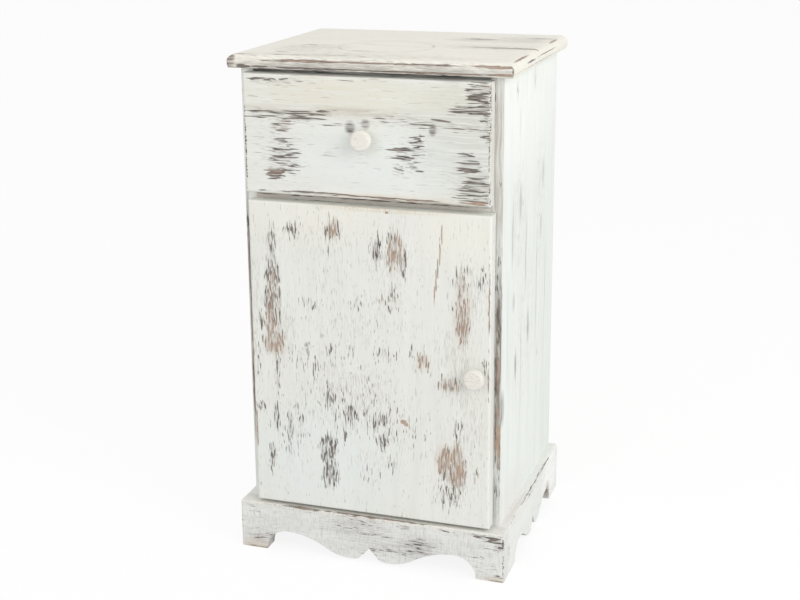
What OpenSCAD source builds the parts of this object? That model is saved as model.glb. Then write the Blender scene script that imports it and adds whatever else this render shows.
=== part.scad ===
// Painted wooden nightstand: a drawer over a cupboard, a moulded top and a
// scalloped plinth. Millimetres, +Z up, the front looks along -Y.
// The origin is on the floor, at the middle of the space the cabinet takes up.

/* [Case] */
// Height from the floor to the top face
total_h = 630; // [580:1:720]
// Outside width across the two sides
case_w = 322; // [290:1:400]
// Depth of the sides, from front edge to back edge
case_d = 278; // [240:1:340]
// Thickness of the sides, bottom, divider and rails
board_t = 15; // [14:0.5:18]
// Depth of the two rails under the top, front to back
rail_d = 40; // [30:1:60]
// Thickness of the back panel
back_t = 4; // [3:0.5:6]
// Width of the rebate in each side that takes the back panel
back_rebate_w = 8; // [6:0.5:10]
// How far the back panel sits in from the back edges of the sides
back_inset = 1; // [1:0.5:4]
// Thickness of the loose shelf
shelf_t = 12; // [10:1:16]
// How far the shelf stands back from the front edges of the case
shelf_setback = 14; // [8:1:40]

/* [Top] */
// Thickness of the top
top_t = 16; // [15:1:22]
// How far the top reaches past each side
top_side_over = 14; // [8:1:30]
// How far the top reaches past the front edges of the sides
top_front_over = 12; // [6:1:30]
// Radius of the large round on the moulded edge
top_round_r = 10; // [6:0.5:11]
// Height of the small groove above the underside
top_groove_z = 2.9; // [2.5:0.1:4]
// Radius of the small groove
top_groove_r = 0.9; // [0.5:0.1:1.2]
// How far the lip under the groove is set back
top_lip_back = 1.2; // [0.5:0.1:2]
// Radius on the lip's lower edge
top_lip_r = 1.1; // [0.5:0.1:1.4]
// Radius of the top's front corners, seen from above
top_corner_r = 3; // [1:0.5:8]

/* [Fronts] */
// Thickness of the drawer front and the door
front_t = 18; // [15:1:22]
// Space between the case and the back of both fronts
front_gap = 2; // [2:0.1:3]
// Radius on the front edges of both fronts
front_ease_r = 2.5; // [1:0.5:5]
// Height of the drawer front
drawer_front_h = 143; // [120:1:170]
// Space between the top and the drawer front
drawer_top_gap = 4; // [2:0.5:6]
// Strip of case that shows beside the drawer front on each side
drawer_reveal = 10; // [6:0.5:12]
// Strip of divider that shows between the drawer front and the door
rail_reveal = 10; // [6:0.5:12]
// Space between the plinth and the door
door_foot_gap = 4; // [2:0.5:6]
// Strip of case that shows beside the door on its hinge side
door_hinge_reveal = 11.5; // [9:0.5:12]
// Strip of case that shows beside the door on its knob side
door_knob_reveal = 7.5; // [5:0.5:12]
// How far the door laps over the front edge of the bottom board
door_lap = 8; // [5:0.5:10]

/* [Knobs] */
// Diameter of the knobs' heads
knob_d = 25; // [22:0.5:34]
// How far the knobs stand out
knob_h = 16.5; // [15:0.5:26]
// Thickness of the knobs' heads
knob_head_t = 11; // [8:0.5:12]
// Radius on the front edge of the knobs' heads
knob_front_r = 3.3; // [1:0.1:3.5]
// Radius on the back edge of the knobs' heads
knob_back_r = 4.4; // [1:0.1:4.4]
// Diameter of the knobs' necks
knob_neck_d = 13; // [11:0.5:16]
// Distance from the door's edge to the middle of its knob
door_knob_edge = 17; // [16:0.5:40]
// Radius of the screws that hold the knobs
knob_screw_r = 2; // [1.5:0.5:2.5]
// How deep those screws reach into the knobs
knob_screw_in = 11; // [8:0.5:12]

/* [Drawer box] */
// Height of the drawer box
box_h = 110; // [90:1:120]
// Space between the drawer box and the back panel
box_back_gap = 25; // [5:1:60]
// Thickness of the drawer sides, back and inner front
box_t = 12; // [11:0.5:14]
// Thickness of the drawer bottom
box_bottom_t = 4; // [3:0.5:6]
// Height of the drawer bottom above the lower edge of the sides
box_bottom_up = 6; // [4:0.5:12]
// Depth of the groove that holds the drawer bottom
box_groove = 5; // [3:0.5:6]
// Space between the divider and the drawer box
box_lift = 6.5; // [3:0.5:10]
// Space between the drawer box and each side of the case
box_side_gap = 2; // [1:0.5:4]
// Height of the runner strips
runner_h = 12; // [10:1:18]
// How far the runner strips reach into the drawer sides
runner_bite = 5.5; // [4:0.5:6]
// How far the runner strips start behind the front edges of the case
runner_setback = 15; // [10:1:30]

/* [Plinth] */
// Height of the plinth
plinth_h = 63; // [58:1:80]
// Thickness of the plinth's front board
plinth_front_t = 22; // [20:1:28]
// Thickness of the plinth's side boards
plinth_side_t = 12; // [11:0.5:16]
// Thickness of the plinth's back board
plinth_back_t = 12; // [10:0.5:16]
// Height of the two arches in the front
front_arch_h = 27.5; // [22:0.5:29]
// Height of the two arches in each side
side_arch_h = 23; // [18:0.5:26]
// Height of the lobes above the floor
lobe_z = 3.7; // [2:0.1:6]
// Distance from the middle of the front to the far end of each lobe's flat
front_lobe_x = 27; // [24:0.5:30]
// Length of the flats under the front's lobes
front_lobe_flat = 7.5; // [3:0.5:10]
// Distance from the middle of a side to the far end of each lobe's flat
side_lobe_x = 21.5; // [20:0.5:26]
// Length of the flats under the sides' lobes
side_lobe_flat = 6; // [3:0.5:7]
// Radius on the inner corner of each lobe
lobe_r = 10; // [6:0.5:12]
// Height of the notch between two lobes
notch_h = 20; // [16:0.5:24]
// Share of the ogee between arch and lobe that curves the arch's way
ogee_share = 0.63; // [0.4:0.01:0.7]
// Width of the feet, seen from the front
front_foot_w = 35; // [28:1:45]
// Width of the back feet, seen from the side
side_foot_w = 46; // [38:1:52]
// How far the scallop in each side lies behind the middle of the plinth
side_scallop_back = 6; // [0:1:10]
// Width of the feet on the back board
back_foot_w = 40; // [30:1:60]
// Radius on the outer edges of the plinth
plinth_ease_r = 2; // [1:0.5:4]
// Height of the lower edges of the case sides above the floor
side_foot_z = 32; // [31:0.5:36]

/* [Hinges and catch] */
// Length of each hinge
hinge_h = 50; // [40:1:60]
// Distance from the end of the door to the middle of a hinge
hinge_inset = 60; // [45:1:90]
// Width of each hinge leaf
hinge_leaf_w = 22; // [18:1:26]
// Length of the middle knuckle of each hinge
knuckle_h = 20; // [16:1:24]
// Distance from the middle of a hinge to its outer screws
hinge_screw_z = 17; // [14:0.5:17]
// Distance from the free edge of a hinge leaf to its screws
hinge_screw_inset = 8.5; // [5:0.5:10]
// Thickness of the hinge leaves
hinge_leaf_t = 0.9; // [0.7:0.1:0.9]
// Radius of the hinge knuckles
knuckle_r = 2.5; // [2:0.1:2.8]
// Radius of the hinge pins
pin_r = 1.2; // [1:0.1:1.4]
// Distance from the divider down to the middle of the magnet catch
catch_drop = 38; // [30:1:120]

/* [Clearances] */
// Running clearance between parts that slide past each other
run_gap = 0.3; // [0.2:0.05:0.5]
// Clearance around pins, dowels and screws in their holes
pin_gap = 0.1; // [0.05:0.01:0.1]

/* [Hidden] */
$fn = 48;

// Paint, bare wood and metal
white_paint = [0.88, 0.88, 0.85];
cream_paint = [0.91, 0.89, 0.83];
bare_wood = [0.72, 0.58, 0.42];
ply = [0.66, 0.52, 0.37];
brass = [0.72, 0.58, 0.30];
steel = [0.70, 0.70, 0.70];
plastic = [0.93, 0.93, 0.91];

// Degrees between the points of a drawn arc
arc_step = 4;

// How far a cutting shape runs past a face, and joined shapes run into each other
cut = 1;

// Depth, from back to front
overall_d = case_d + front_gap + front_t + knob_h;
y_back = overall_d / 2;
y_case = y_back - case_d;
y_front_back = y_case - front_gap;
y_face = y_front_back - front_t;
y_plinth = y_case - plinth_front_t;
y_panel = y_back - back_inset - back_t;

// Width
x_out = case_w / 2;
x_in = x_out - board_t;
x_plinth = x_out + plinth_side_t;
x_top = x_out + top_side_over;

// Height
case_top = total_h - top_t;
rail_z = case_top - board_t;
drawer_z1 = case_top - drawer_top_gap;
drawer_z0 = drawer_z1 - drawer_front_h;
door_z1 = drawer_z0 - rail_reveal;
door_z0 = plinth_h + door_foot_gap;
bottom_top = door_z0 + door_lap;
bottom_z = bottom_top - board_t;
divider_z = (drawer_z0 + door_z1 - board_t) / 2;
divider_top = divider_z + board_t;
shelf_z = (bottom_top + divider_z - shelf_t) / 2;

// The door and its knob
door_x0 = -x_out + door_hinge_reveal;
door_x1 = x_out - door_knob_reveal;
door_zc = (door_z0 + door_z1) / 2;
door_knob_x = door_x1 - door_knob_edge;
drawer_zc = (drawer_z0 + drawer_z1) / 2;

// The drawer box and its runners
box_x1 = x_in - box_side_gap;
box_x0 = box_x1 - box_t;
box_z0 = divider_top + box_lift;
box_z1 = box_z0 + box_h;
box_y1 = y_panel - box_back_gap;
box_floor_z = box_z0 + box_bottom_up;
box_floor_top = box_floor_z + box_bottom_t;
runner_zc = (box_z0 + box_z1) / 2;
runner_x = box_x1 - runner_bite;
runner_y = y_case + runner_setback;
runner_end = y_panel - run_gap;

// Values spread evenly from a to b
function spread(a, b, count) = [for (i = [0 : count - 1]) a + i * (b - a) / (count - 1)];

// Dowels between the sides and the boards, placed by [y, z]
dowel_r = 4;
dowel_in_side = 10;
dowel_in_board = 20;
dowel_inset = 40;
board_dowels = [
    for (z = [bottom_z, divider_z])
        for (y = [y_case + dowel_inset, y_panel - dowel_inset])
            [y, z + board_t / 2]
];
rail_dowels = [for (y = [y_case, y_panel - rail_d]) [y + rail_d / 2, rail_z + board_t / 2]];

// Radii on the edges of the runners and of the drawer sides
runner_ease_r = 2;
box_ease_r = 1.5;

// Glue blocks behind the feet
block_w = board_t;
block_d = 22;
block_z0 = 2;
block_xc = x_in + block_w / 2;
block_zc = (block_z0 + side_foot_z) / 2;
block_y = [y_case, y_panel - block_d];

// How deep screws and nails reach into the second piece
top_bite = 10;
plinth_bite = 8;
block_bite = 12;
front_bite = front_t - 6;
nail_bite = 14;
box_nail_bite = 12;

// Screws: [head radius, head height, shank radius, length]
top_screw = [3.5, 2, 2, board_t + top_bite];
plinth_screw = [3, 1.8, 1.75, board_t + plinth_bite];
block_screw = [3, 1.8, 1.75, block_d + block_bite];
runner_screw = [3, 1.6, 1.5, 12];
front_screw = [3, 1.8, 1.75, box_t + front_bite];
hinge_screw = [2.4, 1, 1.3, 12];
catch_screw = [2.2, 1, 1.3, 11];
drawer_knob_screw = [4, 2.4, knob_screw_r, box_t + front_t + knob_screw_in];
door_knob_screw = [4, 2.4, knob_screw_r, front_t + knob_screw_in];

// A screw's shape: how much of the head's height is rounded, the width and depth of its cross
// as shares of that height, and the end of the point as a share of the shank
head_round = 0.6;
cross_w = 0.3;
cross_depth = 0.5;
point_end = 0.2;

// Where the screws are
top_screw_inset = 58;
top_screw_x = x_in - top_screw_inset;
top_screw_y = [y_case + rail_d / 2, y_panel - rail_d / 2];
plinth_screw_y = spread(y_case + dowel_inset, y_panel - dowel_inset, 3);
plinth_screw_z = (side_foot_z + bottom_z) / 2;
runner_screw_inset = 20;
runner_screw_y = spread(runner_y + runner_screw_inset, runner_end - runner_screw_inset, 3);
front_screw_inset = 40;
front_screw_edge = 26;
front_screw_x = box_x0 - front_screw_inset;
front_screw_z = [box_z0 + front_screw_edge, box_z1 - front_screw_edge];

// Nails: [head radius, head height, shank radius, length]
back_nail = [1.8, 0.8, 0.7, back_t + nail_bite];
back_nail_inset = 25;
back_nail_x = x_in + back_rebate_w / 2;
back_nail_z = spread(bottom_top + back_nail_inset, rail_z - back_nail_inset, 4);
back_nail_rows = [bottom_z + board_t / 2, divider_z + board_t / 2, rail_z + board_t / 2];
box_nail = [1.4, 0.4, 0.8, box_t + box_nail_bite];
box_nail_inset = 15;
box_nail_z = [box_floor_top + box_nail_inset, box_z1 - box_nail_inset];

// Shelf pins
shelf_pin_r = 2.5;
shelf_pin_in = 8;
shelf_tongue = [9, 7, 3];
shelf_pin_inset = 40;
shelf_pin_y = [y_case + shelf_pin_inset, y_panel - shelf_pin_inset];
shelf_pin_z = shelf_z - shelf_tongue[2] / 2;

// Hinges: axis, screws and the heads of the pins
axis_x = door_x0 - knuckle_r - run_gap;
axis_y = y_case - knuckle_r - run_gap;
case_leaf_screw_y = y_case + hinge_leaf_w - hinge_screw_inset;
door_leaf_screw_x = door_x0 + hinge_leaf_w - hinge_screw_inset;
hinge_z = [door_z0 + hinge_inset, door_z1 - hinge_inset];
pin_head_h = 0.8;
pin_head_end_r = pin_r;

// Magnet catch on the right side and its plate on the door
catch_z = divider_z - catch_drop;
catch_size = [14, 15, 28];
catch_flange_t = 2.5;
catch_flange_h = 46;
catch_flange_back = 2;
catch_screw_z = 18;
magnet_size = [8, 3, 22];
strike_size = [12, 1.2, 44];
catch_y = y_front_back + strike_size[1] + 2 * run_gap;
strike_xc = x_in - catch_size[0] / 2;

// A box between two corners given as ranges
module block(x, y, z) {
    translate([x[0], y[0], z[0]]) cube([x[1] - x[0], y[1] - y[0], z[1] - z[0]]);
}

// A flat outline of depth and height, drawn out along X
module along_x(x) {
    translate([x[0], 0, 0]) rotate([90, 0, 90]) linear_extrude(x[1] - x[0]) children();
}

// A flat outline of width and height, drawn out along Y
module along_y(y) {
    translate([0, y[1], 0]) rotate([90, 0, 0]) linear_extrude(y[1] - y[0]) children();
}

// A flat outline of width and depth, drawn out along Z
module along_z(z) {
    translate([0, 0, z[0]]) linear_extrude(z[1] - z[0]) children();
}

// What comes off a square corner at the origin to round it
module corner_waste(r) {
    difference() {
        translate([-cut, -cut]) square(r + cut);
        translate([r, r]) circle(r);
    }
}

// A rectangle with some corners rounded. Corners count from the low one, anticlockwise.
module eased_rect(a, b, r, corners) {
    difference() {
        translate([a[0], b[0]]) square([a[1] - a[0], b[1] - b[0]]);
        for (i = corners)
            translate([i == 0 || i == 3 ? a[0] : a[1], i < 2 ? b[0] : b[1]])
                rotate(90 * i) corner_waste(r);
    }
}

// A screw with its head on the plane z = 0 and its shank pointing down
module screw(s) {
    tip = s[2] * 2;
    difference() {
        rotate_extrude() difference() {
            square([s[0], s[1]]);
            translate([s[0], s[1]]) rotate(180) corner_waste(s[1] * head_round);
        }
        for (a = [0, 90])
            rotate(a) translate([0, 0, s[1]])
                cube([s[0], s[1] * cross_w, 2 * s[1] * cross_depth], center = true);
    }
    translate([0, 0, tip - s[3]]) cylinder(r = s[2], h = s[3] - tip);
    translate([0, 0, -s[3]]) cylinder(r1 = s[2] * point_end, r2 = s[2], h = tip);
}

// The hole that a screw's shank fills
module screw_hole(s) {
    translate([0, 0, -s[3] - pin_gap]) cylinder(r = s[2] + pin_gap, h = s[3] + pin_gap + cut);
}

// A nail with its head on the plane z = 0 and its shank pointing down
module nail(s) {
    cylinder(r = s[0], h = s[1]);
    translate([0, 0, -s[3]]) cylinder(r = s[2], h = s[3]);
}

// Sets children upright, so that what points down points along the named direction
module pointing_left() { rotate([0, 90, 0]) children(); }
module pointing_right() { rotate([0, -90, 0]) children(); }
module pointing_front() { rotate([-90, 0, 0]) children(); }
module pointing_up() { rotate([180, 0, 0]) children(); }

// Copies children on both sides of the middle plane
module both_sides() {
    children();
    mirror([1, 0, 0]) children();
}

// Where each group of screws, nails and dowels goes

module at_top_screws() {
    both_sides()
        for (y = top_screw_y)
            translate([top_screw_x, y, rail_z]) pointing_up() children();
}

module at_plinth_screws() {
    both_sides()
        for (y = plinth_screw_y)
            translate([x_in, y, plinth_screw_z]) pointing_right() children();
}

module at_block_screws() {
    both_sides()
        translate([block_xc, y_case + block_d, block_zc]) pointing_front() children();
}

module at_runner_screws() {
    both_sides()
        for (y = runner_screw_y)
            translate([runner_x + runner_screw[1] + run_gap, y, runner_zc]) pointing_right() children();
}

module at_front_screws() {
    both_sides()
        for (z = front_screw_z)
            translate([front_screw_x, y_front_back + box_t, z]) pointing_front() children();
}

module at_hinge_case_screws(z) {
    for (s = [-1, 0, 1])
        translate([-x_in + hinge_leaf_t, case_leaf_screw_y, z + s * hinge_screw_z])
            pointing_left() children();
}

module at_hinge_door_screws(z) {
    for (s = [-1, 1])
        translate([door_leaf_screw_x, y_front_back + hinge_leaf_t, z + s * hinge_screw_z])
            pointing_front() children();
}

module at_catch_screws() {
    for (s = [-1, 1])
        translate([x_in - catch_flange_t, catch_y + catch_size[1] / 2, catch_z + s * catch_screw_z])
            pointing_right() children();
}

module at_strike_screws() {
    for (s = [-1, 1])
        translate([strike_xc, y_front_back + strike_size[1], catch_z + s * catch_screw_z])
            pointing_front() children();
}

module at_back_nails() {
    both_sides() {
        for (z = back_nail_z)
            translate([back_nail_x, y_panel + back_t, z]) pointing_front() children();
        for (z = back_nail_rows)
            translate([x_in / 2, y_panel + back_t, z]) pointing_front() children();
    }
}

module at_box_nails() {
    both_sides()
        for (y = [y_front_back + box_t / 2, box_y1 - box_t / 2])
            for (z = box_nail_z)
                translate([box_x1 - box_nail[1], y, z]) pointing_left() children();
}

// Dowels for one side of the case, or their holes when gap is more than 0
module dowels(places, gap) {
    for (p = places)
        translate([x_in - dowel_in_board - gap, p[0], p[1]])
            rotate([0, 90, 0])
                cylinder(r = dowel_r + gap, h = dowel_in_board + dowel_in_side + 2 * gap);
}

module dowel_holes(places) {
    both_sides() dowels(places, pin_gap);
}

// Top: a board with its front and both ends moulded

// What the cutter takes off an edge whose face is at a = 0 and whose top is at b = top_t
module moulding_waste() {
    translate([0, top_t]) rotate(180) corner_waste(top_round_r);
    translate([0, top_groove_z]) circle(top_groove_r);
    translate([-top_lip_back, -cut]) square([top_lip_back + cut, top_groove_z + cut]);
    translate([-top_lip_back, 0]) rotate(90) corner_waste(top_lip_r);
}

module top_panel() {
    y = [y_case - top_front_over, y_back];
    color(cream_paint) difference() {
        intersection() {
            along_y(y) difference() {
                translate([-x_top, case_top]) square([2 * x_top, top_t]);
                translate([x_top, case_top]) moulding_waste();
                translate([-x_top, case_top]) mirror([1, 0]) moulding_waste();
            }
            along_x([-x_top, x_top]) difference() {
                translate([y[0], case_top]) square([y[1] - y[0], top_t]);
                translate([y[0], case_top]) mirror([1, 0]) moulding_waste();
            }
            along_z([case_top, total_h]) eased_rect([-x_top, x_top], y, top_corner_r, [0, 1]);
        }
        at_top_screws() screw_hole(top_screw);
    }
}

// Case

module side_blank() {
    difference() {
        block([x_in, x_out], [y_case, y_back], [side_foot_z, case_top]);
        block([x_in - cut, x_in + back_rebate_w],
              [y_panel, y_back + cut],
              [side_foot_z - cut, case_top + cut]);
        dowels(concat(board_dowels, rail_dowels), pin_gap);
        at_plinth_screws() screw_hole(plinth_screw);
        at_runner_screws() screw_hole(runner_screw);
        at_back_nails() screw_hole(back_nail);
        for (y = shelf_pin_y)
            translate([x_in - cut, y, shelf_pin_z]) rotate([0, 90, 0])
                cylinder(r = shelf_pin_r + pin_gap, h = shelf_pin_in + pin_gap + cut);
    }
}

module side_left() {
    color(white_paint) difference() {
        mirror([1, 0, 0]) side_blank();
        for (z = hinge_z) at_hinge_case_screws(z) screw_hole(hinge_screw);
    }
}

module side_right() {
    color(white_paint) difference() {
        side_blank();
        at_catch_screws() screw_hole(catch_screw);
    }
}

// A board that runs from side to side
module cross_board(y, z, places) {
    difference() {
        block([-x_in, x_in], y, [z, z + board_t]);
        dowel_holes(places);
        at_back_nails() screw_hole(back_nail);
        at_top_screws() screw_hole(top_screw);
    }
}

module bottom_board() {
    color(white_paint) cross_board([y_case, y_panel], bottom_z, board_dowels);
}

module divider_board() {
    color(white_paint) cross_board([y_case, y_panel], divider_z, board_dowels);
}

module top_rail_front() {
    color(white_paint) cross_board([y_case, y_case + rail_d], rail_z, rail_dowels);
}

module top_rail_back() {
    color(bare_wood) cross_board([y_panel - rail_d, y_panel], rail_z, rail_dowels);
}

module back_panel() {
    reach = x_in + back_rebate_w - run_gap;
    color(ply) difference() {
        block([-reach, reach], [y_panel, y_panel + back_t], [bottom_z, case_top - run_gap]);
        at_back_nails() screw_hole(back_nail);
    }
}

module back_nails() {
    color(steel) at_back_nails() nail(back_nail);
}

module case_dowels() {
    color(bare_wood) both_sides() dowels(concat(board_dowels, rail_dowels), 0);
}

module top_screws() {
    color(steel) at_top_screws() screw(top_screw);
}

module shelf() {
    reach = x_in - run_gap;
    color(white_paint)
        along_x([-reach, reach])
            eased_rect([y_case + shelf_setback, y_panel - run_gap], [shelf_z, shelf_z + shelf_t],
                       front_ease_r, [0, 3]);
}

// Each pin is a round peg in the side with a flat tongue under the shelf
module shelf_pins() {
    color(steel) both_sides()
        for (y = shelf_pin_y)
            translate([x_in, y, shelf_pin_z]) {
                rotate([0, 90, 0]) cylinder(r = shelf_pin_r, h = shelf_pin_in);
                translate([-shelf_tongue[0], -shelf_tongue[1] / 2, -shelf_tongue[2] / 2])
                    cube(shelf_tongue);
            }
}

// Plinth: a front and two sides with a scalloped lower edge

// Points along an arc round c, without its first point
function arc(c, r, a, b) =
    let (steps = ceil(abs(b - a) / arc_step))
    [for (i = [1 : steps]) c + r * [cos(a + (b - a) * i / steps), sin(a + (b - a) * i / steps)]];

// Half the lower edge of an apron, from the middle to the foot: down the notch, round the
// lobe's corner, along its flat, up an ogee of two arcs and down a quarter circle
function scallop(reach, arch_h, lobe_x, lobe_flat) =
    let (
        corner = [lobe_x - lobe_flat, lobe_z + lobe_r],
        span = norm(corner - [0, notch_h]),
        slope = atan2(notch_h - corner[1], corner[0]) + asin(lobe_r / span),
        slant = sqrt(span * span - lobe_r * lobe_r),
        arch_x = reach - arch_h,
        run = arch_x - lobe_x,
        drop = arch_h - lobe_z,
        radii = (run * run + drop * drop) / (2 * drop),
        turn = asin(run / radii),
        r_arch = radii * ogee_share,
        r_lobe = radii - r_arch
    )
    concat(
        [[0, notch_h], [slant * cos(slope), notch_h - slant * sin(slope)]],
        arc(corner, lobe_r, 270 - slope, 270),
        [[lobe_x, lobe_z]],
        arc([lobe_x, lobe_z + r_lobe], r_lobe, 270, 270 + turn),
        arc([arch_x, arch_h - r_arch], r_arch, 90 + turn, 90),
        arc([arch_x, 0], arch_h, 90, 0)
    );

// The outline of an apron between two ends, with its scallop round the place called mid
module apron(x, mid, reach, arch_h, lobe_x, lobe_flat) {
    half = scallop(reach, arch_h, lobe_x, lobe_flat);
    other_half = [for (i = [len(half) - 1 : -1 : 1]) [-half[i][0], half[i][1]]];
    difference() {
        translate([x[0], 0]) square([x[1] - x[0], plinth_h]);
        translate([mid, 0]) polygon(concat(half, [[reach, -cut], [-reach, -cut]], other_half));
    }
}

module plinth_front() {
    x = [-x_plinth, x_plinth];
    y = [y_plinth, y_case];
    z = [0, plinth_h];
    color(white_paint) difference() {
        intersection() {
            along_y(y)
                apron(x, 0, x_plinth - front_foot_w, front_arch_h, front_lobe_x, front_lobe_flat);
            along_y(y) eased_rect(x, z, plinth_ease_r, [2, 3]);
            along_x(x) eased_rect(y, z, plinth_ease_r, [3]);
            along_z(z) eased_rect(x, y, plinth_ease_r, [0, 1]);
        }
        at_block_screws() screw_hole(block_screw);
    }
}

module plinth_right() {
    y = [y_case, y_back];
    mid = (y_plinth + y_back) / 2 + side_scallop_back;
    color(white_paint) difference() {
        intersection() {
            along_x([x_out, x_plinth])
                apron(y, mid, y_back - side_foot_w - mid, side_arch_h, side_lobe_x, side_lobe_flat);
            along_y(y) eased_rect([x_out, x_plinth], [0, plinth_h], plinth_ease_r, [2]);
        }
        at_plinth_screws() screw_hole(plinth_screw);
    }
}

module plinth_left() {
    mirror([1, 0, 0]) plinth_right();
}

module plinth_back() {
    y = [y_panel - plinth_back_t, y_panel];
    foot_x = x_in - back_foot_w;
    color(bare_wood) difference() {
        block([-x_in, x_in], y, [0, bottom_z]);
        along_y([y[0] - cut, y[1] + cut])
            eased_rect([-foot_x, foot_x], [-cut, front_arch_h], lobe_r, [2, 3]);
    }
}

module plinth_blocks() {
    color(bare_wood) difference() {
        both_sides()
            for (y = block_y)
                block([x_in, x_in + block_w], [y, y + block_d], [block_z0, side_foot_z]);
        at_block_screws() screw_hole(block_screw);
    }
}

module plinth_screws() {
    color(steel) {
        at_plinth_screws() screw(plinth_screw);
        at_block_screws() screw(block_screw);
    }
}

// Runners: strips on the case that run in grooves in the drawer sides

module runner_right() {
    z = [runner_zc - runner_h / 2, runner_zc + runner_h / 2];
    color(bare_wood) difference() {
        along_z(z) eased_rect([runner_x, x_in], [runner_y, runner_end], runner_ease_r, [0]);
        at_runner_screws() screw_hole(runner_screw);
        at_runner_screws() cylinder(r = runner_screw[0] + pin_gap, h = runner_bite);
    }
}

module runner_left() {
    mirror([1, 0, 0]) runner_right();
}

module runner_screws() {
    color(steel) at_runner_screws() screw(runner_screw);
}

// Drawer

// A front board with its four outer edges rounded
module front_board(x, z) {
    y = [y_face, y_front_back];
    intersection() {
        along_z(z) eased_rect(x, y, front_ease_r, [0, 1]);
        along_x(x) eased_rect(y, z, front_ease_r, [0, 3]);
    }
}

module knob_hole(x, z, s, depth) {
    translate([x, y_front_back + depth, z]) pointing_front() screw_hole(s);
}

module drawer_front() {
    x = x_out - drawer_reveal;
    color(white_paint) difference() {
        front_board([-x, x], [drawer_z0, drawer_z1]);
        at_front_screws() screw_hole(front_screw);
        knob_hole(0, drawer_zc, drawer_knob_screw, box_t);
    }
}

module drawer_box_front() {
    color(bare_wood) difference() {
        block([-box_x0, box_x0], [y_front_back, y_front_back + box_t], [box_z0, box_z1]);
        block([-box_x0 - cut, box_x0 + cut],
              [y_front_back + box_t - box_groove, y_front_back + box_t + cut],
              [box_floor_z, box_floor_top + pin_gap]);
        at_front_screws() screw_hole(front_screw);
        at_box_nails() screw_hole(box_nail);
        knob_hole(0, drawer_zc, drawer_knob_screw, box_t);
    }
}

module drawer_side_right() {
    groove_z = runner_h / 2 + run_gap;
    color(bare_wood) difference() {
        along_y([y_front_back, box_y1])
            eased_rect([box_x0, box_x1], [box_z0, box_z1], box_ease_r, [2, 3]);
        block([box_x0 - cut, box_x0 + box_groove],
              [y_front_back - cut, box_y1 + cut],
              [box_floor_z, box_floor_top + pin_gap]);
        block([runner_x - 2 * run_gap, box_x1 + cut],
              [runner_y - run_gap, box_y1 + cut],
              [runner_zc - groove_z, runner_zc + groove_z]);
        at_box_nails() screw_hole(box_nail);
        at_box_nails() cylinder(r = box_nail[0] + pin_gap, h = box_nail[1] + cut);
    }
}

module drawer_side_left() {
    mirror([1, 0, 0]) drawer_side_right();
}

module drawer_back() {
    color(bare_wood) difference() {
        block([-box_x0, box_x0], [box_y1 - box_t, box_y1], [box_floor_top, box_z1]);
        at_box_nails() screw_hole(box_nail);
    }
}

module drawer_bottom() {
    reach = box_x0 + box_groove - run_gap;
    color(ply)
        block([-reach, reach],
              [y_front_back + box_t - box_groove + run_gap, box_y1],
              [box_floor_z, box_floor_top]);
}

module drawer_nails() {
    color(steel) at_box_nails() nail(box_nail);
}

module drawer_front_screws() {
    color(steel) at_front_screws() screw(front_screw);
}

// A turned knob: a flat round head on a short flared neck, drilled from behind
module knob() {
    color(cream_paint) rotate([90, 0, 0]) rotate_extrude($fn = 72) difference() {
        union() {
            square([knob_neck_d / 2, knob_h - knob_head_t + cut]);
            difference() {
                translate([0, knob_h - knob_head_t]) square([knob_d / 2, knob_head_t]);
                translate([knob_d / 2, knob_h]) rotate(180) corner_waste(knob_front_r);
                translate([knob_d / 2, knob_h - knob_head_t]) rotate(90) corner_waste(knob_back_r);
            }
        }
        translate([0, -cut]) square([knob_screw_r + pin_gap, knob_screw_in + pin_gap + cut]);
    }
}

module drawer_knob() {
    translate([0, y_face, drawer_zc]) knob();
}

module drawer_knob_screw() {
    color(steel) translate([0, y_front_back + box_t, drawer_zc]) pointing_front() screw(drawer_knob_screw);
}

// Door

module door() {
    color(white_paint) difference() {
        front_board([door_x0, door_x1], [door_z0, door_z1]);
        knob_hole(door_knob_x, door_zc, door_knob_screw, 0);
        for (z = hinge_z) at_hinge_door_screws(z) screw_hole(hinge_screw);
        at_strike_screws() screw_hole(catch_screw);
    }
}

module door_knob() {
    translate([door_knob_x, y_face, door_zc]) knob();
}

module door_knob_screw() {
    color(steel) translate([door_knob_x, y_front_back, door_zc]) pointing_front() screw(door_knob_screw);
}

// Hinges: cranked butt hinges with the knuckles beside the door's edge

// Turns the knuckle solid about the hinge axis between two heights
module knuckle(z) {
    translate([axis_x, axis_y, z[0]]) cylinder(r = knuckle_r, h = z[1] - z[0]);
}

module pin_bore(z) {
    translate([axis_x, axis_y, z - hinge_h]) cylinder(r = pin_r + pin_gap, h = 2 * hinge_h);
}

// The case leaf wraps from the front edge of the side onto its inner face
module case_leaf(zc) {
    z = [zc - hinge_h / 2, zc + hinge_h / 2];
    edge_y = [y_case - hinge_leaf_t, y_case];
    color(brass) difference() {
        union() {
            knuckle([z[0], zc - knuckle_h / 2]);
            knuckle([zc + knuckle_h / 2, z[1]]);
            difference() {
                block([axis_x, -x_in + hinge_leaf_t], edge_y, z);
                block([axis_x - cut, door_x0], [edge_y[0] - cut, y_case + cut],
                      [zc - knuckle_h / 2 - run_gap, zc + knuckle_h / 2 + run_gap]);
            }
            block([-x_in, -x_in + hinge_leaf_t], [edge_y[0], y_case + hinge_leaf_w], z);
        }
        pin_bore(zc);
        at_hinge_case_screws(zc) screw_hole(hinge_screw);
    }
}

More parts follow.
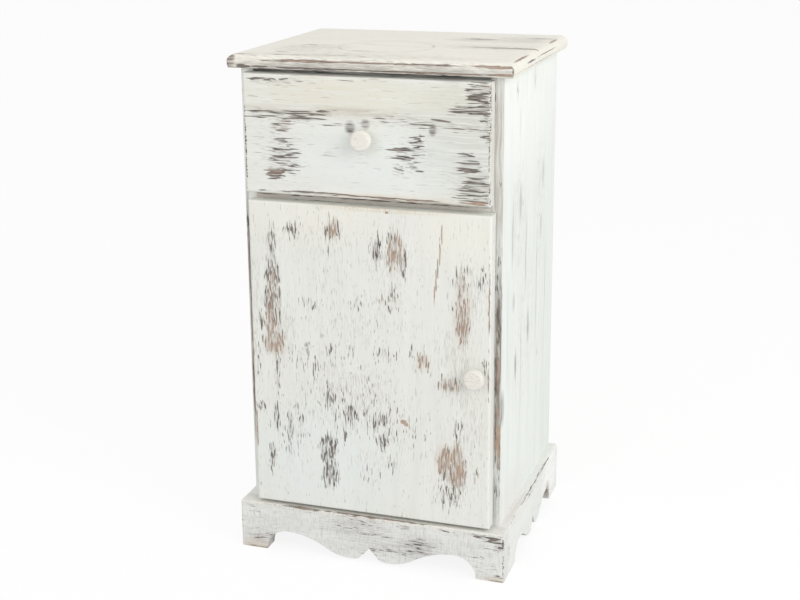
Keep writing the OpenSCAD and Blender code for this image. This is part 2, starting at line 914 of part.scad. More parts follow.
// The door leaf lies flat on the back of the door
module door_leaf(zc) {
    z = [zc - hinge_h / 2, zc + hinge_h / 2];
    knuckle_z = [zc - knuckle_h / 2 + run_gap, zc + knuckle_h / 2 - run_gap];
    y = [y_front_back, y_front_back + hinge_leaf_t];
    color(brass) difference() {
        union() {
            knuckle(knuckle_z);
            block([axis_x, door_x0 + cut], y, knuckle_z);
            block([door_x0, door_x0 + hinge_leaf_w], y, z);
        }
        pin_bore(zc);
        at_hinge_door_screws(zc) screw_hole(hinge_screw);
    }
}

module hinge_lower_case_leaf() { case_leaf(hinge_z[0]); }
module hinge_upper_case_leaf() { case_leaf(hinge_z[1]); }
module hinge_lower_door_leaf() { door_leaf(hinge_z[0]); }
module hinge_upper_door_leaf() { door_leaf(hinge_z[1]); }

// Pins with a small head at each end
module hinge_pins() {
    color(brass)
        for (z = hinge_z)
            translate([axis_x, axis_y, z]) {
                cylinder(r = pin_r, h = hinge_h, center = true);
                for (s = [0, 180])
                    rotate([s, 0, 0]) translate([0, 0, hinge_h / 2])
                        cylinder(r1 = knuckle_r - run_gap, r2 = pin_head_end_r, h = pin_head_h);
            }
}

module hinge_case_screws() {
    color(brass) for (z = hinge_z) at_hinge_case_screws(z) screw(hinge_screw);
}

module hinge_door_screws() {
    color(brass) for (z = hinge_z) at_hinge_door_screws(z) screw(hinge_screw);
}

// Magnet catch

module catch_body() {
    y = [catch_y, catch_y + catch_size[1]];
    color(plastic) difference() {
        union() {
            block([x_in - catch_size[0], x_in], y,
                  [catch_z - catch_size[2] / 2, catch_z + catch_size[2] / 2]);
            block([x_in - catch_flange_t, x_in], [y[0] + catch_flange_back, y[1]],
                  [catch_z - catch_flange_h / 2, catch_z + catch_flange_h / 2]);
        }
        block([strike_xc - magnet_size[0] / 2 - pin_gap, strike_xc + magnet_size[0] / 2 + pin_gap],
              [catch_y - cut, catch_y + magnet_size[1]],
              [catch_z - magnet_size[2] / 2 - pin_gap, catch_z + magnet_size[2] / 2 + pin_gap]);
        at_catch_screws() screw_hole(catch_screw);
    }
}

module catch_magnet() {
    color(steel)
        translate([strike_xc - magnet_size[0] / 2, catch_y - run_gap, catch_z - magnet_size[2] / 2])
            cube([magnet_size[0], magnet_size[1] + run_gap, magnet_size[2]]);
}

module catch_screws() {
    color(steel) at_catch_screws() screw(catch_screw);
}

module strike_plate() {
    color(steel) difference() {
        translate([strike_xc - strike_size[0] / 2, y_front_back, catch_z - strike_size[2] / 2])
            cube(strike_size);
        at_strike_screws() screw_hole(catch_screw);
    }
}

module strike_screws() {
    color(steel) at_strike_screws() screw(catch_screw);
}

top_panel();
side_left();
side_right();
bottom_board();
divider_board();
top_rail_front();
top_rail_back();
back_panel();
back_nails();
case_dowels();
top_screws();
shelf();
shelf_pins();
plinth_front();
plinth_left();
plinth_right();
plinth_back();
plinth_blocks();
plinth_screws();
runner_left();
runner_right();
runner_screws();
drawer_front();
drawer_box_front();
drawer_side_left();
drawer_side_right();
drawer_back();
drawer_bottom();
drawer_nails();
drawer_front_screws();
drawer_knob();
drawer_knob_screw();
door();
door_knob();
door_knob_screw();
hinge_upper_case_leaf();
hinge_lower_case_leaf();
hinge_pins();
hinge_case_screws();
hinge_upper_door_leaf();
hinge_lower_door_leaf();
hinge_door_screws();
catch_body();
catch_magnet();
catch_screws();
strike_plate();
strike_screws();
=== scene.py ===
import math

import bmesh
import bpy
from mathutils import Matrix, Vector

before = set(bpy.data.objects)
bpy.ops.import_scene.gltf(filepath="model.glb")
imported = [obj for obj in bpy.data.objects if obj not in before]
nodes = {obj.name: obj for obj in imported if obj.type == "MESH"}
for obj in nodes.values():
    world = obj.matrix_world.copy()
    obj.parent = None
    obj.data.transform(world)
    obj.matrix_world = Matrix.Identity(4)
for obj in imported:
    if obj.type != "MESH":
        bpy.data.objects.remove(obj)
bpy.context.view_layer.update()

MM = 0.001
AXES = "XYZ"

# Faces and edges that the wear follows, in mm
FRONT_FACE = -140.75
CASE_FRONT = -120.75
PLINTH_FACE = -142.75
SLAB_FRONT = -132.75
SIDE_FACE = 161.0
PLINTH_SIDE = 173.0
SLAB_END = 175.0
TOP_FACE = 630.0
SLAB_NOSE = 629.0
DRAWER_TOP = 610.0
PLINTH_TOP = 63.0

# Colours in sRGB
PAINT = "#E8E9E3"
PAINT_DEEP = "#D6D5CD"
HAZE = "#9C968F"
WOOD_DARK = "#443B37"
WOOD_GREY = "#9F958D"
WOOD_BROWN = "#9A8474"
WOOD_FRESH = "#CBB09A"
PINE_LIGHT = "#D9BC8E"
PINE_DARK = "#BE9A68"
PLY_LIGHT = "#DDC7A2"
PLY_DARK = "#CDAE82"
PORES = "#9C7A50"

# Marks in the paint, width and length in mm. Real bristles, grains of sandpaper and wood fibres
# leave marks 0.3 to 1 mm wide, too fine to show, so these are drawn two to three times as wide.
BRUSH_BAND = (14, 160)
BRISTLE_MARK = (2.2, 55)
SANDED_SPECK = (1.2, 11)
CROSSING_LINE = (1.5, 9)
# Pores in bare wood, also drawn coarser: real ones are about 0.1 mm wide
PORE = (0.9, 18)
# Size of the areas that were rubbed more or less, and the coat's thickness, in mm
WORN_CLOUD = 70
COAT_THICK = 0.25

# The span that soft noise seldom leaves
NOISE_SPAN = (0.28, 0.72)
# Over this share of its reach a patch fades out
PATCH_RIM = 0.6
# How worn the coat is where it starts to go and where it is gone, and the same for the heart of
# a worn mark and for the grey haze of thin paint
COAT_GOES = (0.93, 1.18)
HEART_SHOWS = (1.05, 1.35)
HAZE_SHOWS = (0.8, 1.45)
HAZE_MOST = 0.62
PAINT_ROUGHNESS = 0.62
WORN_ROUGHNESS = 0.78


def colour(text):
    """Turns an sRGB hex value into the linear colour that a shader takes."""
    parts = [int(text[i : i + 2], 16) / 255 for i in (1, 3, 5)]
    linear = [p / 12.92 if p <= 0.04045 else ((p + 0.055) / 1.055) ** 2.4 for p in parts]
    return (*linear, 1)


def add(tree, kind, inputs=None, output=0, **settings):
    """Adds one node with its settings and links, and gives back one of its outputs.

    An input is a value, or another node's output to link. Sockets go by number where a name
    stands on several: a Map Range takes 1 to 2 onto 3 to 4, and a Mix of colours has its share
    at 0 and its colours at 6 and 7."""
    node = tree.nodes.new("ShaderNode" + kind)
    for name, value in settings.items():
        setattr(node, name, value)
    for key, value in (inputs or {}).items():
        if isinstance(value, bpy.types.NodeSocket):
            tree.links.new(value, node.inputs[key])
        else:
            node.inputs[key].default_value = value
    return node.outputs[output] if node.outputs else None


# What makes a Mix node one of colours, and the output that its colour comes from
OF_COLOURS = {"output": 2, "data_type": "RGBA"}


def new_material(name):
    """An empty material and its node tree."""
    material = bpy.data.materials.new(name)
    material.use_nodes = True
    material.node_tree.nodes.clear()
    return material, material.node_tree


def give(material, *names):
    """Puts a material on the CAD nodes of these names."""
    for name in names:
        slots = nodes[name].data.materials
        slots.clear()
        slots.append(material)


# Patterns, all in mm on the part

def millimetres(tree):
    """The place on the part in mm."""
    place = add(tree, "TexCoord", output="Object")
    return add(tree, "VectorMath", {0: place, "Scale": 1 / MM}, operation="SCALE")


def wandering(tree, place, size, reach):
    """The place, pushed about by up to reach mm in swings of about size mm."""
    noise = {"Vector": place, "Scale": 1 / size, "Detail": 1.0}
    noise = add(tree, "TexNoise", noise, output="Color")
    push = {0: noise, 1: [2 * reach] * 3, 2: [-reach] * 3}
    push = add(tree, "VectorMath", push, operation="MULTIPLY_ADD")
    return add(tree, "VectorMath", {0: place, 1: push}, operation="ADD")


def streaks(tree, place, grain, width, length, detail=2.0, offset=0.0):
    """Noise from 0 to 1, drawn out along the grain into marks of about this width and length in mm.

    offset moves it, so that no pattern is a copy of another."""
    scale = [1 / length if axis == grain else 1 / width for axis in AXES]
    drawn = add(tree, "Mapping", {"Vector": place, "Scale": scale, "Location": [offset] * 3})
    noise = add(tree, "TexNoise", {"Vector": drawn, "Scale": 1.0, "Detail": detail})
    return add(tree, "MapRange", {0: noise, 1: NOISE_SPAN[0], 2: NOISE_SPAN[1]})


def dragged(tree, place, grain, width, length, reach):
    """The place, pushed by up to reach mm along the grain, by another amount in each streak."""
    noise = streaks(tree, place, grain, width, length, detail=1.0, offset=19)
    shift = add(tree, "MapRange", {0: noise, 3: -reach, 4: reach})
    push = add(tree, "CombineXYZ", {grain: shift})
    return add(tree, "VectorMath", {0: place, 1: push}, operation="ADD")


def patch_field(tree, place, patches, least=0.0):
    """The strength of the strongest patch at each place.

    A patch has its centre, its reach along each axis and its strength."""
    total = least
    for centre, reach, strength in patches:
        middle = [-c / r for c, r in zip(centre, reach)]
        near = {"Vector": place, "Location": middle, "Scale": [1 / r for r in reach]}
        near = add(tree, "Mapping", near)
        ball = add(tree, "TexGradient", {"Vector": near}, output="Fac", gradient_type="SPHERICAL")
        amount = add(tree, "MapRange", {0: ball, 1: 0.0, 2: PATCH_RIM, 3: 0.0, 4: strength})
        total = add(tree, "Math", {0: total, 1: amount}, operation="MAXIMUM")
    return total


def on_front(y, rows, depth=7):
    """Patches on a face that looks along -Y: rows of x, z, half width, half height, strength."""
    return [((x, y, z), (rx, depth, rz), k) for x, z, rx, rz, k in rows]


def on_side(x, rows, depth=7):
    """Patches on a face that looks along X: rows of y, z, half width, half height, strength."""
    return [((x, y, z), (depth, ry, rz), k) for y, z, ry, rz, k in rows]


def on_top(z, rows, depth=5):
    """Patches on a level face: rows of x, y, half width, half depth, strength."""
    return [((x, y, z), (rx, ry, depth), k) for x, y, rx, ry, k in rows]


# Finishes

def chalk_paint(name, grain, tick, worn=None, tints=(), paint=PAINT, deep=PAINT_DEEP, streak=0.5,
                stray=0.0, bite=0.45, most=1.15, fray=9.0, sound=0.0, crossed=None, ring=None,
                offset=0.0):
    """Chalk paint on pine: a matt emulsion, brushed on along the grain and rubbed down by hand.

    The eye sees brush streaks and grain. Where it is rubbed thin it is greyer, and where it is
    rubbed through, short ticks of dark wood show, with a brown heart where the rubbing went
    deep. The coat is matt, and bare wood duller still.

    tick: width and length of a worn tick in mm, coarser than a real one, which is too fine
        to show
    worn: the rubbed places, thin, bare and brown ones with ends frayed along the grain, and
        bare_line and brown_line along edges
    tints: places with another tone, each as its patches, colour and amount; some are painted shade
    in gaps
    paint, deep, streak: the coat, the tone of its brush streaks, and how much they show
    stray: how thin the coat is away from the rubbed places
    bite, most: how readily a rubbed place breaks into ticks, and the strength it is held to
    fray: how far its ends are frayed, in mm
    sound: how much better than usual the coat holds
    crossed: the axis of a second rubbing, across the first
    ring: middle, radius and width of the stain that a wet cup left
    offset: moves the patterns, so that no two boards are alike"""
    rubbed = {"thin": (), "bare": (), "brown": (), "bare_line": (), "brown_line": ()}
    rubbed.update(worn or {})
    material, tree = new_material(name)
    # The grain sways a little, worn edges are slightly uneven, and the ends of patches ragged
    place = millimetres(tree)
    wavy = wandering(tree, place, 60, 3)
    close = wandering(tree, place, 9, 0.6)
    frayed = dragged(tree, wandering(tree, place, 14, 1.5), grain, tick[0], 40, fray)

    # Brush marks, ticks and specks along the grain, and cloudy areas
    fine = streaks(tree, wavy, grain, *BRISTLE_MARK, detail=3.0, offset=offset)
    broad = streaks(tree, wavy, grain, *BRUSH_BAND, offset=offset + 7)
    ticks = streaks(tree, wavy, grain, *tick, detail=1.0, offset=offset + 3)
    specks = streaks(tree, wavy, grain, *SANDED_SPECK, detail=3.0, offset=offset + 13)
    clouds = add(tree, "TexNoise", {"Vector": place, "Scale": 1 / WORN_CLOUD, "Detail": 3.0})
    clouds = add(tree, "MapRange", {0: clouds, 1: 0.35, 2: 0.7})

    # The coat: brush streaks, tinted places, crossing lines and the ring
    tone = add(tree, "Math", {0: fine, 1: broad}, operation="ADD")
    tone = add(tree, "Math", {0: tone, 1: 0.5 * streak}, operation="MULTIPLY")
    coat = add(tree, "Mix", {0: tone, 6: colour(paint), 7: colour(deep)}, **OF_COLOURS)
    for patches, tint, amount in tints:
        uneven = {0: fine, 1: 0.1, 2: 0.8, 3: 0.2 * amount, 4: amount}
        uneven = add(tree, "MapRange", uneven)
        share = {0: patch_field(tree, close, patches), 1: uneven}
        share = add(tree, "Math", share, operation="MULTIPLY")
        coat = add(tree, "Mix", {0: share, 6: coat, 7: colour(tint)}, **OF_COLOURS)
    if crossed:
        lines = streaks(tree, wavy, crossed, *CROSSING_LINE, offset=offset + 17)
        lines = add(tree, "MapRange", {0: lines, 1: 0.45, 2: 0.95, 3: 0.0, 4: 0.3})
        coat = add(tree, "Mix", {0: lines, 6: coat, 7: colour(HAZE)}, **OF_COLOURS)
    if ring:
        middle, radius, width = ring
        away = {0: close, 1: middle}
        away = add(tree, "VectorMath", away, output="Value", operation="DISTANCE")
        away = add(tree, "Math", {0: away, 1: radius}, operation="SUBTRACT")
        away = add(tree, "Math", {0: away}, operation="ABSOLUTE")
        stain = add(tree, "MapRange", {0: away, 1: 0.0, 2: width, 3: 0.7, 4: 0.0})
        stain = add(tree, "Math", {0: stain, 1: broad}, operation="MULTIPLY")
        coat = add(tree, "Mix", {0: stain, 6: coat, 7: colour(HAZE)}, **OF_COLOURS)

    # How worn each place is: lines along edges are not held to most
    fresh_line = patch_field(tree, close, rubbed["brown_line"])
    lines = patch_field(tree, close, rubbed["bare_line"], fresh_line)
    fresh_patch = patch_field(tree, frayed, rubbed["brown"])
    bare = patch_field(tree, frayed, rubbed["bare"], fresh_patch)
    bare = add(tree, "Math", {0: bare, 1: most}, operation="MINIMUM")
    bare = add(tree, "Math", {0: bare, 1: lines}, operation="MAXIMUM")
    brown = add(tree, "Math", {0: fresh_patch, 1: fresh_line}, operation="MAXIMUM")
    thin = patch_field(tree, frayed, rubbed["thin"], bare)
    thin = add(tree, "Math", {0: clouds, 1: stray, 2: thin}, operation="MULTIPLY_ADD")

    # Thin paint is hazed by the wood under it
    haze = add(tree, "Math", {0: thin, 1: 0.55, 2: specks}, operation="MULTIPLY_ADD")
    haze = {0: haze, 1: HAZE_SHOWS[0], 2: HAZE_SHOWS[1], 3: 0.0, 4: HAZE_MOST}
    haze = add(tree, "MapRange", haze)
    coat = add(tree, "Mix", {0: haze, 6: coat, 7: colour(HAZE)}, **OF_COLOURS)

    # The wood: a dark or brown rim round a grey or fresh heart
    level = add(tree, "Math", {0: bare, 1: bite, 2: ticks}, operation="MULTIPLY_ADD")
    gone = {0: level, 1: COAT_GOES[0] + sound, 2: COAT_GOES[1] + sound}
    gone = add(tree, "MapRange", gone)
    heart = add(tree, "MapRange", {0: level, 1: HEART_SHOWS[0], 2: HEART_SHOWS[1]})
    strong = add(tree, "Math", {0: fresh_line, 1: 1.0}, operation="SUBTRACT")
    heart = add(tree, "Math", {0: heart, 1: strong}, operation="MAXIMUM", use_clamp=True)
    old = {0: specks, 6: colour(WOOD_DARK), 7: colour(WOOD_GREY)}
    old = add(tree, "Mix", old, **OF_COLOURS)
    fresh = {0: specks, 6: colour(WOOD_BROWN), 7: colour(WOOD_FRESH)}
    fresh = add(tree, "Mix", fresh, **OF_COLOURS)
    inside = add(tree, "Mix", {0: brown, 6: old, 7: fresh}, **OF_COLOURS)
    rim = add(tree, "Math", {0: brown, 1: 0.6}, operation="MULTIPLY", use_clamp=True)
    rim = {0: rim, 6: colour(WOOD_DARK), 7: colour(WOOD_BROWN)}
    rim = add(tree, "Mix", rim, **OF_COLOURS)
    wood = add(tree, "Mix", {0: heart, 6: rim, 7: inside}, **OF_COLOURS)
    surface = add(tree, "Mix", {0: gone, 6: coat, 7: wood}, **OF_COLOURS)

    # The worn places lie lower by the coat's thickness
    height = add(tree, "Math", {0: fine, 1: 0.4, 2: 1.0}, operation="MULTIPLY_ADD")
    height = add(tree, "Math", {0: height, 1: gone}, operation="SUBTRACT")
    bump = {"Strength": 0.6, "Distance": COAT_THICK * MM, "Height": height}
    bump = add(tree, "Bump", bump)
    roughness = add(tree, "MapRange", {0: gone, 3: PAINT_ROUGHNESS, 4: WORN_ROUGHNESS})
    shader = {"Base Color": surface, "Roughness": roughness, "Normal": bump}
    add(tree, "OutputMaterial", {"Surface": add(tree, "BsdfPrincipled", shader)})
    return material


def bare_wood(name, grain, light=PINE_LIGHT, dark=PINE_DARK, band=5.0, sway=5.0):
    """Wood that paint never reached: pale, with bands of darker late wood and fine pores.

    band is the width of a dark band in mm, and sway is how far the grain wanders."""
    material, tree = new_material(name)
    place = wandering(tree, millimetres(tree), 90, sway)
    rings = streaks(tree, place, grain, band, 220, detail=1.0)
    pores = streaks(tree, place, grain, *PORE, detail=1.0, offset=5)
    wood = add(tree, "Mix", {0: rings, 6: colour(light), 7: colour(dark)}, **OF_COLOURS)
    depth = add(tree, "Math", {0: pores, 1: 0.25}, operation="MULTIPLY")
    wood = add(tree, "Mix", {0: depth, 6: wood, 7: colour(PORES)}, **OF_COLOURS)
    bump = add(tree, "Bump", {"Strength": 0.4, "Distance": 0.15 * MM, "Height": pores})
    shader = {"Base Color": wood, "Roughness": 0.6, "Normal": bump}
    add(tree, "OutputMaterial", {"Surface": add(tree, "BsdfPrincipled", shader)})
    return material


def clouded(name, tint, marks, roughness, metallic, grit, depth):
    """A plated, sintered or moulded surface: one colour, clouded by handling, with a fine grit.

    grit is the spacing of the grit in mm, several times the real one, which is too fine to
    show, and depth is its depth in mm."""
    material, tree = new_material(name)
    place = millimetres(tree)
    clouds = add(tree, "TexNoise", {"Vector": place, "Scale": 1 / 6, "Detail": 4.0})
    clouds = add(tree, "MapRange", {0: clouds, 1: 0.4, 2: 0.75, 3: 0.0, 4: 0.4})
    surface = add(tree, "Mix", {0: clouds, 6: colour(tint), 7: colour(marks)}, **OF_COLOURS)
    dull = add(tree, "MapRange", {0: clouds, 3: roughness, 4: roughness + 0.15})
    grains = add(tree, "TexNoise", {"Vector": place, "Scale": 1 / grit, "Detail": 1.0})
    bump = add(tree, "Bump", {"Strength": 0.3, "Distance": depth * MM, "Height": grains})
    shader = {"Base Color": surface, "Metallic": metallic, "Roughness": dull, "Normal": bump}
    add(tree, "OutputMaterial", {"Surface": add(tree, "BsdfPrincipled", shader)})
    return material


# Chalk paint on pine, brushed on and rubbed down with sandpaper: matt and streaky, and worn
# through in ticks of dark and brown wood. Each board has its own worn places.

# Door: grain upright. Cream along its top, cool low down, warm round the brown wood.
door_wear = {
    "thin": on_front(FRONT_FACE, [
        (-8, 319, 96, 47, 0.42), (-23, 215, 90, 70, 0.62), (2, 139, 49, 33, 0.4),
        (-106, 297, 25, 48, 0.7), (110, 280, 38, 62, 0.6), (30, 400, 44, 54, 0.6),
        (128, 370, 26, 54, 0.7), (-143, 300, 8, 130, 0.6), (-110, 150, 34, 50, 0.4),
        (-60, 410, 70, 34, 0.4), (-49, 370, 30, 40, 0.4), (110, 150, 44, 70, 0.4),
        (128, 200, 26, 80, 0.55),
    ]),
    "bare": on_front(FRONT_FACE, [
        (-94, 425, 16, 12, 1.15), (-42, 428, 17, 15, 1.2), (-47, 401, 2, 11, 1.0),
        (-121, 405, 11, 34, 0.9), (-121, 366, 13, 24, 1.7), (-123, 324, 13, 46, 1.5),
        (-120, 281, 19, 18, 1.5), (-112, 340, 3, 50, 1.3), (-137, 308, 5, 24, 0.9),
        (14, 409, 11, 30, 1.1), (33, 409, 12, 31, 1.2), (48, 394, 5, 28, 1.4),
        (33, 353, 10, 26, 0.8), (117, 376, 14, 27, 0.9), (119, 328, 15, 33, 1.1),
        (142, 381, 11, 24, 0.7), (-71, 336, 22, 8, 0.8), (-12, 341, 14, 8, 0.75),
        (29, 344, 24, 9, 0.85), (-77, 277, 7, 8, 1.0), (-45, 280, 19, 7, 0.8),
        (-20, 280, 10, 9, 0.7), (22, 277, 25, 8, 0.7), (-143, 259, 8, 26, 0.8),
        (-118, 237, 5, 38, 0.95), (-140, 190, 10, 7, 1.2), (-120, 183, 6, 24, 1.2),
        (-102, 167, 6, 46, 1.0), (-88, 180, 8, 20, 0.7), (-128, 129, 7, 21, 1.2),
        (-69, 245, 2.5, 9, 1.1), (-49, 217, 11, 23, 1.05), (-52, 148, 17, 22, 1.4),
        (-50, 114, 15, 27, 1.6), (-22, 196, 12, 16, 1.2), (-29, 167, 3, 8, 1.5),
        (-6, 213, 5, 9, 1.0), (17, 192, 19, 14, 1.15), (20, 165, 14, 13, 1.1),
        (29, 138, 10, 10, 0.9), (-10, 205, 80, 54, 0.36), (30, 190, 60, 44, 0.45),
        (-60, 262, 90, 30, 0.28), (-100, 175, 34, 60, 0.38), (5, 116, 24, 16, 0.4),
        (-20, 320, 90, 40, 0.1), (105, 100, 34, 20, 0.5), (68, 272, 13, 13, 1.0),
        (105, 248, 20, 10, 0.9), (114, 193, 9, 20, 0.9), (106, 141, 23, 34, 1.15),
        (105, 107, 25, 11, 1.05), (146, 276, 4, 7, 1.1), (56, 281, 4, 9, 1.2),
    ]),
    "brown": on_front(FRONT_FACE, [
        (-40, 429, 6, 14, 1.8), (-126, 306, 10, 34, 1.1), (-121, 280, 17, 16, 1.6),
        (-119, 353, 9, 30, 0.8), (31, 400, 8, 20, 1.5), (41, 410, 6, 25, 2.0), (20, 346, 2, 6, 1.5),
        (37, 343, 3, 6, 1.3), (120, 329, 12, 42, 1.2), (117, 373, 9, 30, 1.0),
        (70, 273, 11, 15, 1.4), (105, 247, 22, 11, 1.1), (96, 146, 10, 21, 1.9),
        (112, 158, 11, 17, 1.9), (116, 133, 11, 26, 2.0), (137, 137, 7, 9, 1.1),
    ]),
    # The edges, a crack that leans across the grain, and two knots
    "brown_line": on_front(FRONT_FACE, [
        (-147.2, 168, 1.6, 36, 1.8), (151.4, 345, 1.5, 50, 1.5), (151.6, 262, 1.4, 40, 1.3),
        (94, 432, 1, 17, 1.9), (91.6, 410, 1.3, 19, 2.2), (89.2, 392, 1.3, 18, 2.2),
        (86.8, 375, 1.3, 18, 2.2), (85, 358, 1, 15, 1.9), (27, 453, 3, 2.4, 2.0),
        (46, 194, 5, 4, 2.6), (49, 191, 4, 3, 2.6),
    ], depth=5),
    "bare_line": on_front(FRONT_FACE, [
        (-148, 186, 1.5, 22, 1.3), (151.6, 375, 1.4, 40, 1.1),
    ], depth=5),
}
door_tints = [
    (on_front(FRONT_FACE, [(-70, 446, 110, 46, 1.0), (120, 440, 70, 60, 1.0)]), "#EFE9DB", 0.5),
    (on_front(FRONT_FACE, [(20, 456, 110, 5, 1.0)]), "#CDBB9C", 0.5),
    (on_front(FRONT_FACE, [(-60, 130, 120, 90, 1.0)]), "#E2EBEC", 0.5),
    (on_front(FRONT_FACE, [
        (-121, 305, 12, 60, 0.4), (-120, 276, 19, 18, 0.7), (38, 406, 14, 28, 0.8),
        (119, 338, 15, 54, 0.7), (97, 150, 14, 26, 1.0), (112, 142, 16, 34, 1.0),
        (70, 273, 13, 15, 0.5), (105, 247, 24, 12, 0.4), (-40, 428, 10, 14, 0.6),
    ]), "#C1A792", 0.6),
]
give(chalk_paint("chalk_paint_door", "Z", (1.7, 12), door_wear, door_tints, stray=0.1), "door")

# Drawer front: grain level, the upper half creamier than the lower
drawer_wear = {
    "thin": on_front(FRONT_FACE, [
        (-91, 559, 70, 10, 0.8), (60, 560, 100, 12, 0.7), (-105, 522, 40, 44, 0.6),
        (60, 524, 40, 26, 0.6), (125, 500, 40, 30, 0.6), (-100, 602, 60, 8, 0.7),
    ]),
    "bare": on_front(FRONT_FACE, [
        (-134, 604, 12, 2.4, 1.3), (-112, 603, 9, 3, 1.5), (-96, 604, 7, 2.4, 1.4),
        (-76, 603, 7, 2, 1.4), (-2, 606, 33, 2, 0.8), (-87, 565, 70, 5, 1.02),
        (-48, 569, 24, 3, 1.3), (-95, 557, 15, 4, 1.4), (-103, 548, 16, 10, 1.4),
        (-105, 532, 15, 6, 1.2), (-107, 521, 14, 5, 1.1), (-109, 509, 16, 9, 1.4),
        (-111, 493, 17, 14, 1.5), (-38, 553, 19, 3, 0.9), (24, 563, 15, 5, 0.6),
        (66, 534, 8, 20, 1.55), (60, 510, 10, 12, 0.95), (48, 529, 28, 4, 1.3),
        (53, 519, 20, 5, 1.2), (42, 505, 6, 10, 1.1), (93, 564, 14, 5, 1.1), (110, 576, 18, 5, 0.9),
        (138, 598, 20, 15, 2.0), (132, 578, 26, 8, 1.2), (146, 585, 8, 24, 1.4),
        (148, 556, 6, 24, 1.4), (121, 526, 12, 5, 1.4), (127, 513, 16, 10, 1.7),
        (136, 489, 24, 17, 1.8), (122, 482, 24, 12, 0.9), (143, 475, 14, 5, 1.8),
        (-91, 559, 70, 4, 0.8), (94, 558, 73, 8, 0.65), (-90, 512, 9, 30, 0.8),
    ]),
    "brown": on_front(FRONT_FACE, [
        (-98, 550, 14, 12, 0.6), (144, 603, 7, 5, 1.0), (-111, 498, 17, 12, 0.4),
    ]),
    "brown_line": on_front(FRONT_FACE, [
        (134, 470.4, 28, 3.4, 1.2), (60, 468.4, 120, 2.2, 0.7),
    ], depth=5),
    "bare_line": on_front(FRONT_FACE, [
        (-60, 470.5, 90, 2, 1.5), (30, 470.2, 110, 1.6, 1.3), (134, 473.4, 24, 2, 1.8),
        (-149.4, 520, 2, 66, 1.2), (149.6, 530, 1.2, 44, 1.1), (122, 556, 40, 0.9, 1.3),
    ], depth=5),
}
drawer_tints_and_shade = [
    (on_front(FRONT_FACE, [(-40, 590, 150, 34, 1.0), (100, 588, 90, 24, 1.0)]), "#DFDAC9", 0.8),
    (on_front(FRONT_FACE, [(-30, 569, 200, 8, 1.0)]), "#BDB4A6", 0.55),
    (on_front(FRONT_FACE, [(30, 516, 190, 48, 1.0)]), "#E4E9E7", 0.7),
    (on_front(FRONT_FACE, [(30, 470, 150, 6, 1.0)]), "#DACDBB", 0.7),
    (on_front(FRONT_FACE, [(140, 540, 100, 100, 1.0)]), "#CBCCC3", 0.75),
    # Its right end, and the smudges on its face
    ([((153, -131, 538), (4, 12, 100), 1.0)], "#D3CFC0", 1.1),
    (on_front(FRONT_FACE, [
        (-17, 551, 8, 9.5, 0.95), (2, 556, 7, 7, 0.95), (83, 553, 6, 8, 1.2),
    ]), "#655A56", 1.15),
    # Painted shade along its top edge, standing in for the dark gap under the top
    (on_top(DRAWER_TOP, [(0, -132, 600, 14, 1.0)], depth=1.4), "#6E6862", 0.8),
]
give(chalk_paint("chalk_paint_drawer", "X", (1.8, 30), drawer_wear, drawer_tints_and_shade, streak=0.6,
                 stray=0.15, bite=0.5, most=1.1, fray=8, offset=11),
     "drawer_front")

# Top: grain level, its moulded edges worn along the nose and in the groove
top_wear = {
    "thin": on_top(TOP_FACE, [
        (110, 10, 70, 40, 0.8), (120, 90, 70, 60, 0.7), (-100, -60, 60, 60, 0.6),
        (0, -110, 180, 40, 0.6),
    ]) + on_front(SLAB_FRONT, [(0, 622, 240, 12, 0.9)], depth=16),
    "bare": on_top(TOP_FACE, [
        (135, 2, 42, 4, 1.5), (84, 6, 26, 4, 0.9), (150, 113, 26, 8, 1.3), (72, 90, 14, 14, 1.1),
        (-107, -22, 18, 6, 1.3), (-117, -93, 14, 5, 1.1), (-100, -118, 50, 5, 1.1),
        (-40, -112, 60, 4, 0.9), (-23, -64, 36, 5, 0.9), (-41, 5, 30, 4, 0.9),
        (-150, -124, 24, 6, 1.0),
    ]),
    "brown_line": on_front(SLAB_FRONT, [
        (-80, 624.6, 60, 1.6, 0.6), (0, 625.2, 170, 1.5, 0.5), (152, 626, 40, 3, 1.0),
        (162, 617, 30, 2.8, 1.2), (96, 616.4, 90, 1.6, 0.6),
    ], depth=5) + on_top(SLAB_NOSE, [
        (169.4, -76, 1.8, 44, 0.8), (168.6, 98, 2, 34, 1.0),
    ], depth=1.8),
    "bare_line": on_front(SLAB_FRONT, [
        (-80, 624.8, 66, 2.2, 2.5), (0, 625.2, 170, 1.5, 2.2), (96, 626.4, 9, 3, 2.2),
        (70, 625.8, 90, 1.5, 2.0), (152, 626, 42, 3, 2.4), (-154, 616.4, 12, 2.8, 3.0),
        (-132, 616.8, 14, 1.5, 3.0), (-60, 616.2, 70, 1.8, 2.2), (60, 616.4, 150, 1.5, 2.1),
        (162, 617, 30, 2.4, 1.9), (174, 621, 1.3, 9, 1.8), (0, 614.6, 280, 1.1, 1.2),
    ], depth=5) + on_side(SLAB_END, [
        (-45, 622.6, 28, 1.4, 2.0), (35, 623.4, 70, 0.9, 1.4), (0, 617, 200, 1, 1.1),
    ], depth=4) + on_top(SLAB_NOSE, [
        (169.4, -76, 2.2, 44, 2.0), (168.6, 98, 2.2, 32, 1.8),
    ], depth=2) + on_top(TOP_FACE, [
        (150, 6, 44, 4.2, 2.3), (106, 8, 44, 2.8, 1.9), (82, 88, 34, 4, 1.5),
    ], depth=3),
}
top_tints = [
    (on_top(TOP_FACE, [
        (70, 80, 40, 24, 0.8), (128, 89, 44, 40, 0.3), (-90, -33, 60, 26, 0.5),
    ]), "#A8A097", 0.5),
    # Dirt in the groove, and the knocked left corner
    (on_front(SLAB_FRONT, [(0, 619, 420, 8, 1.0)], depth=5), "#B9B6AF", 0.85),
    ([((-172, -128, 622), (10, 14, 12), 1.0)], "#8D7F75", 2.2),
]
